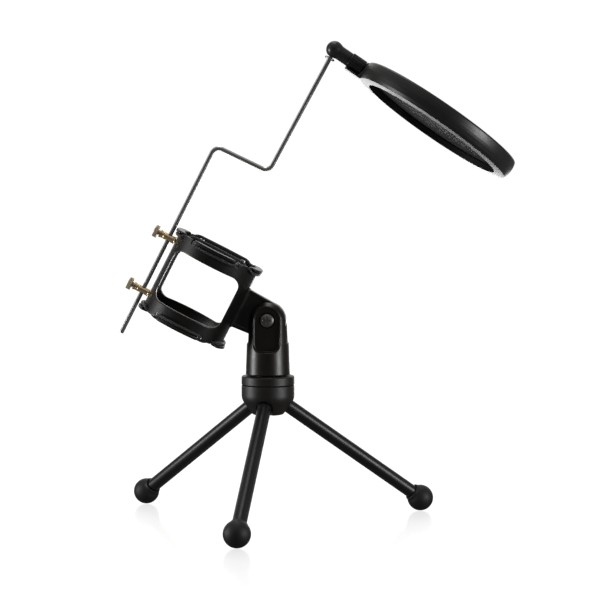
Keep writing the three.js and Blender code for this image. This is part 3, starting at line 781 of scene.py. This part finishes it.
def band(high):
    ring, chord, low, mid = 26.3, 13.4, 22.2, 23.4
    q = [(ring * math.sin(a * DEG), -ring * math.cos(a * DEG), low) for a in (0, 4.5, 9, 13.5, 18, 22, 26)]
    q += [(12.6, -23.1, low + 0.03), (13.2, -22.5, low + 0.22), (chord, -21.7, low + 0.75), (chord, -20.6, mid - 0.1)]
    if high > mid:
        q += [(chord, -18.6, mid + 0.25), (chord, -16.4, high - 0.5), (chord, -14.6, high - 0.05)]
        q += [(chord, -12, high), (chord, -7, high + 0.05), (chord, -2.5, high + 0.08)]
    else:
        q += [(chord, -18.6, high), (chord, -15, high), (chord, -10, high), (chord, -4, high)]
    q = np.array(q)
    right = np.concatenate([q, q[::-1] * (1, -1, 1)])
    left = right[::-1] * (-1, 1, 1)
    both = np.concatenate([right, left])
    return np.array([v for i, v in enumerate(both) if np.linalg.norm(v - both[i - 1]) > 1e-6])


for end_, flip in (("upper", 0), ("lower", 180)):
    for way, turn_, high in (("front_back", 0, 23.4), ("left_right", 90, 25.35)):
        sweep(f"cord_{end_}_{way}", catmull(band(high), 4), 0.88, CRADLE @ RX(flip) @ RZ(turn_), CORD, "cradle",
              [f"elastic_{end_}_{way}"], n=16, closed=True, uvs=(0.69, 0.75), up=(0, 0, 1))


def post_field(x, y, z):
    # along z here: the post's outer end is at +35.3
    r = np.hypot(x, y)
    d = smax(r - 2.1, np.abs(z - 30.4) - 4.9, 0.25)
    d = smin(d, smax(r - 2.4, np.abs(z - 34.85) - 0.45, 0.2), 0.2)
    d = smin(d, smax(r - 2.4, np.abs(z - 25.66) - 0.16, 0.1), 0.2)
    # turned grooves near the outer end
    for g in (33.2, 32.5):
        d = smax(d, -(np.hypot(r - 2.15, z - g) - 0.2), 0.1)
    d = smax(d, -smax(r - 1.3, 29.4 - z, 0.1), 0.2)
    d = smax(d, -smax(r - 1.3, z - 27.7, 0.1), 0.2)
    return smax(d, -(np.hypot(x, z - 29.4) - 1.55), 0.25)


def knurl(th, r, z):
    near = np.clip((z - 36.45) / 0.45, 0, 1) * np.clip((38.75 - z) / 0.45, 0, 1)
    return np.where(r > 2.6, near * 0.2 * (1 - np.cos(34 * th)) / 2 * 1.4, 0)


for end_, pz in (("upper", 17.5), ("lower", -16.2)):
    out_ = CRADLE @ TR(0, 0, pz) @ RY(-90)
    # this frame's z points outwards, away from the cage; the rod runs along its x
    field("brass_post_" + end_, lambda x, y, z: post_field(y, x, z), (-2.5, -2.5, 25.5), (2.5, 2.5, 35.3), 0.17, out_,
          BRASS, "cradle", ["rod_post_" + end_])
    lathe("knurled_screw_" + end_,
          [(0, 31.0), (1.0, 31.0), (1.0, 35.6), (1.5, 35.6), (1.5, 36.3), (3.62, 36.3), (3.62, 38.9), (1.6, 38.9), (1.3, 38.65), (0, 38.65)],
          [0, 0.2, 0.05, 0.1, 0.15, 0.35, 0.3, 0.15, 0.1, 0], out_, KNURL, "thumbscrew_" + end_,
          ["thumbscrew_" + end_], n=204, seg=3, step=0.5, ribs=knurl)
    field("post_fixing_" + end_, screw_field(2.0, 1.1, 0.45, 1.0, 4.6, 1.2, 0.26, 0.7), (-2, -2, -4.8), (2, 2, 1.1), 0.13,
          CRADLE @ TR(-22.7, 0, pz) @ RY(90), ZINC, "cradle", ["post_screw_" + end_])

# ---------------------------------------------------------------- bent rod
inv = np.linalg.inv(STAND @ TR(-38.64, 0, 133.5) @ RY(27))
ball_c = (STAND @ np.array([38.15, 0, 269.6, 1]))
ball_l = (inv @ ball_c)[:3]
A, B, C = (np.array([x, 0, z]) for x, z in ((-29.4, -44.1), (-29.4, 76.6), (4.7, 77.4)))
upw = (ball_l - C) / np.linalg.norm(ball_l - C)
D = ball_l + upw * 1.3


def corner(P, Q, R, bend=4.5, k=12):
    u, v = (P - Q) / np.linalg.norm(P - Q), (R - Q) / np.linalg.norm(R - Q)
    half = math.acos(np.clip(u @ v, -1, 1)) / 2
    d = bend / math.tan(half)
    bis = (u + v) / np.linalg.norm(u + v)
    O = Q + bis * bend / math.sin(half)
    s, e = Q + u * d - O, Q + v * d - O
    tot = math.acos(np.clip(s @ e / (np.linalg.norm(s) * np.linalg.norm(e)), -1, 1))
    return [O + (s * math.sin(tot * (1 - i / k)) + e * math.sin(tot * i / k)) / math.sin(tot) for i in range(k + 1)]


def straight(P, Q, n):
    return [P + (Q - P) * i / n for i in range(1, n)]


c1, c2 = corner(A, B, C), corner(B, C, D)
line = [A + np.array([0, 0, 0.4])] + straight(A, c1[0], 20) + c1 + straight(c1[-1], c2[0], 6) + c2 + straight(c2[-1], D, 20) + [D]
sweep("z_rod", line, 1.25, CRADLE, STEEL, "rod", ["offset_rod"], n=28, up=(0, 1, 0), dome=0.3)

tilt = math.degrees(math.atan2(upw[0], upw[2]))
clip = [(2.25 * math.cos(a * DEG), 2.25 * math.sin(a * DEG), -5.85) for a in np.linspace(130, 410, 40)]
sweep("rod_clip", clip, 0.74, CRADLE @ TR(*ball_l) @ RY(tilt), ZINC, "rod", ["retaining_ring"], n=14,
      up=(0, 0, 1), flat=1.0, dome=0.3)

# ------------------------------------------------------- swivel and collar
rod_dir = np.array([ball_l[0] - 4.7, 0, ball_l[2] - 77.4])
rod_dir = (np.linalg.inv(RY(34.5)) @ RY(27))[:3, :3] @ rod_dir
lean = math.atan2(rod_dir[0], rod_dir[2])


def swivel_field(x, y, z):
    r = np.hypot(y, z)
    ball = np.sqrt(x * x + r * r) - 4.88
    stem = smax(r - 4.1, np.abs(x - 5.17) - 5.17, 0.3)
    d = smin(ball, stem, 0.8)
    d = smin(d, smax(r - 3.2, np.abs(x - 13) - 4.5, 0.3), 0.1)
    c, s = math.cos(lean), math.sin(lean)
    # the rod's hole, along the rod
    a, q = x * s + z * c, x * c - z * s
    d = smax(d, -smax(np.hypot(q, y) - 1.45, a - 1.7, 0.3), 0.4)
    return smax(d, -smax(r - 2.2, 7.9 - x, 0.2), 0.25)


field("swivel_knuckle", swivel_field, (-5, -5, -5), (17.6, 5, 5), 0.24, SWIVEL, STEM_BLACK_PAINTED_HIGHLIGHT, "swivel", ["swivel_ball"])


def fluting(th, r, z):
    w = np.abs(np.mod(th * 20 / (2 * math.pi), 1) - 0.5) * 2          # 1 at a groove
    g = np.clip((w - 0.62) / 0.3, 0, 1)
    g = g * g * (3 - 2 * g)
    run = np.clip((z - 10.5) / 0.25, 0, 1) * np.clip((19.5 - z) / 0.25, 0, 1)
    return np.where(r > 4.2, 0.4 * g * run, 0)


lathe("fluted_collar", [(3.5, 10.5), (4.68, 10.5), (4.68, 19.6), (3.5, 19.6)], [0.15, 0.4, 0.35, 0.15], SWIVEL @ RY(90),
      STEM_BLACK_PAINTED_HIGHLIGHT, "lock_collar", ["lock_collar"], n=240, seg=4, closed=True, step=1.2, ribs=fluting)

# ------------------------------------------------------------------- filter
rim = [(43.0, -6.1), (49.4, -5.4), (50.2, -3.7), (50.67, -1.4), (50.75, 0.1), (50.58, 2.2), (50.2, 4.0), (49.85, 4.68),
       (49.25, 5.03), (48.0, 5.1), (48.0, -2.4), (43.0, -2.4)]
lathe("filter_rim", rim, [0.3, 0.3, 3, 4, 6, 4, 1.5, 0.4, 0.4, 0.2, 0.15, 0.3], FILTER, RIM, "filter", ["filter_frame"],
      n=192, seg=4, closed=True)


def neck_field(x, y, z):
    seat = box3(x - 21.35, y, z + 0.55, 1.45, 4.4, 4.95, 0.9)
    tongue = box3(x - 16.15, y, z + 5.5, 5.25, 4.5, 0.4, 0.33)
    d = smin(seat, tongue, 0.8)
    r = np.hypot(y, z)
    return smin(d, smax(r - 1.9, np.abs(x - 14.6) - 6.3, 0.3), 0.2)


field("filter_neck", neck_field, (8.3, -4.6, -6.0), (22.9, 4.6, 4.5), 0.2, DISC, RIM, "filter", [])
lathe("clamp_hoop", [(43.0, 2.6), (47.7, 2.6), (47.7, 5.1), (43.8, 5.1), (43.0, 4.4)], [0.2, 0.2, 0.3, 0.4, 0.4], FILTER, RIM, "filter",
      ["retaining_hoop"], n=160, seg=4, closed=True)
lathe("mesh_spacer", [(44.0, -1.4), (47.6, -1.4), (47.6, 1.6), (44.0, 1.6)], [0.3] * 4, FILTER, STEM_BLACK_PAINTED_HIGHLIGHT, "filter",
      ["spacer_ring"], n=160, seg=3, closed=True)


def net_disc(name, z, sag, weave, nodes):
    """One layer of net clamped at its rim, drawn down a little towards the middle with faint pull lines.

    weave is the angle of the threads: the two layers are cut across each other."""
    rows, cols = 40, 144
    rr = np.linspace(0, 47.6, rows)
    th = np.arange(cols) * 2 * math.pi / cols
    R, T = np.meshgrid(rr, th, indexing="ij")
    t = np.clip((R - 20) / 23, 0, 1)
    ripple = 0.05 * np.sin(11 * T + 1.3) * t * t * np.clip((44.5 - R) / 4, 0, 1)
    Z = z + sag * (1 - np.clip(R / 43.5, 0, 1) ** 2) + ripple
    verts = [(0, 0, z + sag)]
    for i in range(1, rows):
        verts += [(R[i, j] * math.cos(T[i, j]), R[i, j] * math.sin(T[i, j]), Z[i, j]) for j in range(cols)]
    verts = np.array(verts)
    faces = [[0, 1 + j, 1 + (j + 1) % cols] for j in range(cols)]
    for i in range(rows - 2):
        a, b = 1 + i * cols, 1 + (i + 1) * cols
        faces += [[a + j, b + j, b + (j + 1) % cols, a + (j + 1) % cols] for j in range(cols)]
    cw, sw = math.cos(weave * DEG), math.sin(weave * DEG)
    uv = [((cw * verts[k][0] + sw * verts[k][1]) / 0.55, (cw * verts[k][1] - sw * verts[k][0]) / 0.55)
          for f in faces for k in f]
    n = np.zeros_like(verts)
    for f in faces:
        p = verts[f]
        n[f] += np.cross(p[1] - p[0], p[2] - p[0])
    ob = make(name, put(verts, FILTER), faces, turn(n, FILTER), NET, "filter", nodes, uv)
    return ob


net_disc("net_front", -1.9, -0.25, 0, ["mesh_front"])
net_disc("net_rear", 2.1, 0.2, 37, ["mesh_rear"])

# ---------------------------------------- CAD parts that stay, out of sight
for names, mat in ((["threaded_stud"], ZINC), (["thread_insert"], BRASS),
                   (["leg_pin_front", "leg_pin_left", "leg_pin_right"], STEEL)):
    for n_ in names:
        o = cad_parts[n_]
        o.data.materials.clear()
        o.data.materials.append(mat)
        bv = o.modifiers.new("edge", "BEVEL")
        bv.width, bv.segments, bv.limit_method, bv.angle_limit = 0.00015, 2, "ANGLE", 0.6

# ------------------------------------------------------ stage, light, camera
scene = bpy.context.scene
scene.view_settings.view_transform = "Standard"
scene.view_settings.look = "None"
scene.view_settings.exposure = 0.0
scene.view_settings.gamma = 1.0

AX, AY = -0.027229, 0.020092
CAM = Vector((0.0795, -1.2425, 0.20706))
HEAD = 4.0

me = bpy.data.meshes.new("floor")
me.from_pydata([(-6, -6, -0.0002), (6, -6, -0.0002), (6, 6, -0.0002), (-6, 6, -0.0002)], [], [(0, 1, 2, 3)])
floor = bpy.data.objects.new("floor", me)
scene.collection.objects.link(floor)
fm = bpy.data.materials.new("white_acrylic")
fm.use_nodes = True
ft = fm.node_tree
ft.nodes.clear()
out = ft.nodes.new("ShaderNodeOutputMaterial")
lp = ft.nodes.new("ShaderNodeLightPath")
geo = ft.nodes.new("ShaderNodeNewGeometry")
em = node(ft, "ShaderNodeEmission", Strength=1.0)
em.inputs["Color"].default_value = (1, 1, 1, 1)
# what the object reflects of the table: dim in front of it, bright behind
place = ft.nodes.new("ShaderNodeSeparateXYZ")
ft.links.new(geo.outputs["Position"], place.inputs[0])
far = ft.nodes.new("ShaderNodeMapRange")
far.interpolation_type = "SMOOTHSTEP"
for key_, val_ in (("From Min", 0.60), ("From Max", 0.98), ("To Min", 0.0), ("To Max", 1.0)):
    far.inputs[key_].default_value = val_
ft.links.new(place.outputs[1], far.inputs["Value"])
aside = ft.nodes.new("ShaderNodeMath")
aside.operation = "ABSOLUTE"
ft.links.new(place.outputs[0], aside.inputs[0])
near = ft.nodes.new("ShaderNodeMapRange")
near.interpolation_type = "SMOOTHSTEP"
for key_, val_ in (("From Min", 0.22), ("From Max", 0.44), ("To Min", 6.6), ("To Max", 0.0)):
    near.inputs[key_].default_value = val_
ft.links.new(aside.outputs[0], near.inputs["Value"])
patch = ft.nodes.new("ShaderNodeMath")
patch.operation = "MULTIPLY_ADD"
ft.links.new(far.outputs["Result"], patch.inputs[0])
ft.links.new(near.outputs["Result"], patch.inputs[1])
patch.inputs[2].default_value = 0.09
level = ft.nodes.new("ShaderNodeMix")
level.inputs["B"].default_value = 1.02
ft.links.new(patch.outputs[0], level.inputs["A"])
ft.links.new(lp.outputs["Is Camera Ray"], level.inputs["Factor"])
ft.links.new(level.outputs["Result"], em.inputs["Strength"])
# a clear mirror image with a wide soft one over it, which fades away from the contact
crisp = node(ft, "ShaderNodeBsdfGlossy", Roughness=0.12)
haze = node(ft, "ShaderNodeBsdfGlossy", Roughness=0.42)
for g_ in (crisp, haze):
    g_.inputs["Color"].default_value = (1.42, 1.42, 1.42, 1)
gl = ft.nodes.new("ShaderNodeMixShader")
gl.inputs[0].default_value = 0.58
ft.links.new(crisp.outputs[0], gl.inputs[1])
ft.links.new(haze.outputs[0], gl.inputs[2])
mx = node(ft, "ShaderNodeMixShader")
gloss = ft.nodes.new("ShaderNodeMapRange")
gloss.inputs["To Min"].default_value, gloss.inputs["To Max"].default_value = 0.06, 0.24
ft.links.new(lp.outputs["Is Camera Ray"], gloss.inputs["Value"])
# the mirror image fades out towards the front of the table
fade = ft.nodes.new("ShaderNodeMapRange")
for key_, val_ in (("From Min", -0.21), ("From Max", -0.075), ("To Min", 0.06), ("To Max", 1.0)):
    fade.inputs[key_].default_value = val_
ft.links.new(place.outputs[1], fade.inputs["Value"])
shine = ft.nodes.new("ShaderNodeMath")
shine.operation = "MULTIPLY"
ft.links.new(gloss.outputs["Result"], shine.inputs[0])
ft.links.new(fade.outputs["Result"], shine.inputs[1])
ft.links.new(shine.outputs[0], mx.inputs[0])
ft.links.new(em.outputs[0], mx.inputs[1])
ft.links.new(gl.outputs[0], mx.inputs[2])
tr = ft.nodes.new("ShaderNodeBsdfTransparent")
back = ft.nodes.new("ShaderNodeMixShader")
ft.links.new(geo.outputs["Backfacing"], back.inputs[0])
ft.links.new(mx.outputs[0], back.inputs[1])
ft.links.new(tr.outputs[0], back.inputs[2])
ft.links.new(back.outputs[0], out.inputs["Surface"])
me.materials.append(fm)

# white surround for the picture; dim studio for what the object reflects,
# with the lit backdrop behind it
w = bpy.data.worlds.new("studio")
scene.world = w
w.use_nodes = True
wt = w.node_tree
wt.nodes.clear()
wo = wt.nodes.new("ShaderNodeOutputWorld")
lp = wt.nodes.new("ShaderNodeLightPath")
bg_cam = node(wt, "ShaderNodeBackground", Strength=1.03)
bg_cam.inputs["Color"].default_value = (1, 1, 1, 1)
tc = wt.nodes.new("ShaderNodeTexCoord")
sp = wt.nodes.new("ShaderNodeSeparateXYZ")
wt.links.new(tc.outputs["Generated"], sp.inputs[0])


def wmath(op, a, b=None):
    x = wt.nodes.new("ShaderNodeMath")
    x.operation = op
    for i, v in enumerate((a, b)):
        if v is None:
            continue
        if isinstance(v, (int, float)):
            x.inputs[i].default_value = v
        else:
            wt.links.new(v, x.inputs[i])
    return x.outputs[0]


def wrange(v, a, b, c, d):
    x = wt.nodes.new("ShaderNodeMapRange")
    x.interpolation_type = "SMOOTHSTEP"
    for k, val in zip(("From Min", "From Max", "To Min", "To Max"), (a, b, c, d)):
        x.inputs[k].default_value = val
    wt.links.new(v, x.inputs["Value"])
    return x.outputs["Result"]


behind = wrange(sp.outputs[1], 0.62, 0.94, 0.0, 1.0)
above = wrange(sp.outputs[2], 0.27, 0.72, 0.0, 0.33)
levels = wmath("ADD", wmath("ADD", wmath("MULTIPLY", behind, 1.2), above), 0.04)
bg = node(wt, "ShaderNodeBackground")
bg.inputs["Color"].default_value = (1.0, 0.985, 0.96, 1)
wt.links.new(levels, bg.inputs["Strength"])
wm = wt.nodes.new("ShaderNodeMixShader")
wt.links.new(lp.outputs["Is Camera Ray"], wm.inputs[0])
wt.links.new(bg.outputs[0], wm.inputs[1])
wt.links.new(bg_cam.outputs[0], wm.inputs[2])
wt.links.new(wm.outputs[0], wo.inputs["Surface"])


def softbox(name, azimuth, distance, height, size, power, colour=(1, 1, 1), target_z=0.13):
    """azimuth from the camera's side of the object, positive to the right."""
    a = (azimuth + HEAD) * DEG
    at = Vector((AX + math.sin(a) * distance, AY - math.cos(a) * distance, height))
    li = bpy.data.lights.new(name, "AREA")
    li.shape = "RECTANGLE"
    li.size, li.size_y = size
    li.energy = power
    li.color = colour
    ob = bpy.data.objects.new(name, li)
    ob.location = at
    ob.rotation_euler = (Vector((AX, AY, target_z)) - at).to_track_quat("-Z", "Y").to_euler()
    ob.visible_camera = False
    scene.collection.objects.link(ob)
    return ob


softbox("softbox_left", -82, 0.8, 0.15, (0.27, 0.30), 3.8, target_z=0.15)
softbox("softbox_right", 61, 0.8, 0.15, (0.27, 0.30), 3.4, target_z=0.15)
softbox("overhead", 183, 0.28, 1.15, (0.45, 0.85), 2.6)
softbox("fill_left", -86, 0.9, 0.62, (0.45, 0.50), 0.60, target_z=0.16)

cam_data = bpy.data.cameras.new("camera")
cam_data.lens, cam_data.sensor_width = 132.9, 36
cam_data.dof.use_dof = False
cam_data.clip_start, cam_data.clip_end = 0.05, 50
cam = bpy.data.objects.new("camera", cam_data)
cam.location = CAM
cam.rotation_euler = ((90 - 3.621) * DEG, 0, HEAD * DEG)
scene.collection.objects.link(cam)
scene.camera = cam
